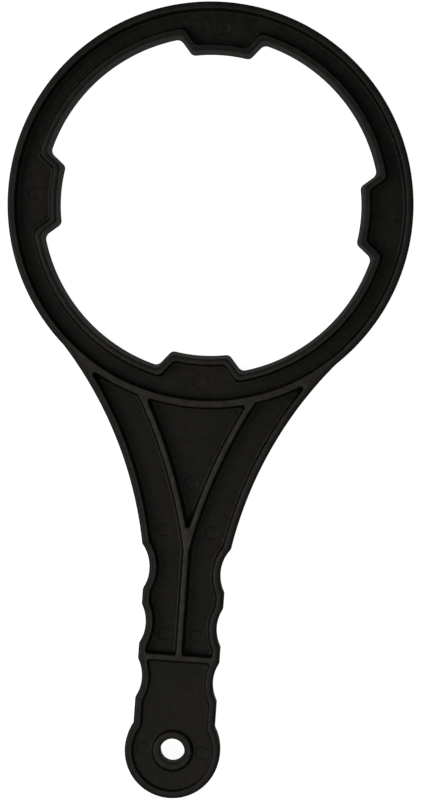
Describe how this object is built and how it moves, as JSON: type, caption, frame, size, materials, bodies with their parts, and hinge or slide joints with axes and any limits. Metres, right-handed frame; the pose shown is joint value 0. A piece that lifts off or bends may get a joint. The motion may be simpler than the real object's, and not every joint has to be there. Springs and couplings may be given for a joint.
{
  "type": "filter housing wrench",
  "caption": "Moulded black plastic ring wrench for a water filter's sump, with inward lugs, a flared ribbed handle, finger scallops and a hang hole.",
  "frame": {"origin": "centre of the ring, on the plane that the back of the rims lies in", "axes": "+Z along the ring's axis, out of the front face; the handle runs along -Y; +X to the right seen from the front with the handle down"},
  "size_m": [0.156, 0.3068, 0.014],
  "materials": {
    "black_plastic": "satin, fine moulded grain"
  },
  "bodies": {
    "root": {"ring_outer_rim": "black_plastic", "ring_inner_rim": "black_plastic", "ring_web": "black_plastic", "lug_far": "black_plastic", "lug_left": "black_plastic", "lug_near": "black_plastic", "lug_right": "black_plastic", "neck_rim_left": "black_plastic", "neck_rim_right": "black_plastic", "grip_rim_left": "black_plastic", "grip_rim_right": "black_plastic", "handle_web": "black_plastic", "v_rib_left": "black_plastic", "v_rib_right": "black_plastic", "centre_rib": "black_plastic", "cross_rib": "black_plastic", "end_pad": "black_plastic", "eye_rim": "black_plastic", "hang_hole_collar": "black_plastic"}
  },
  "joints": []
}
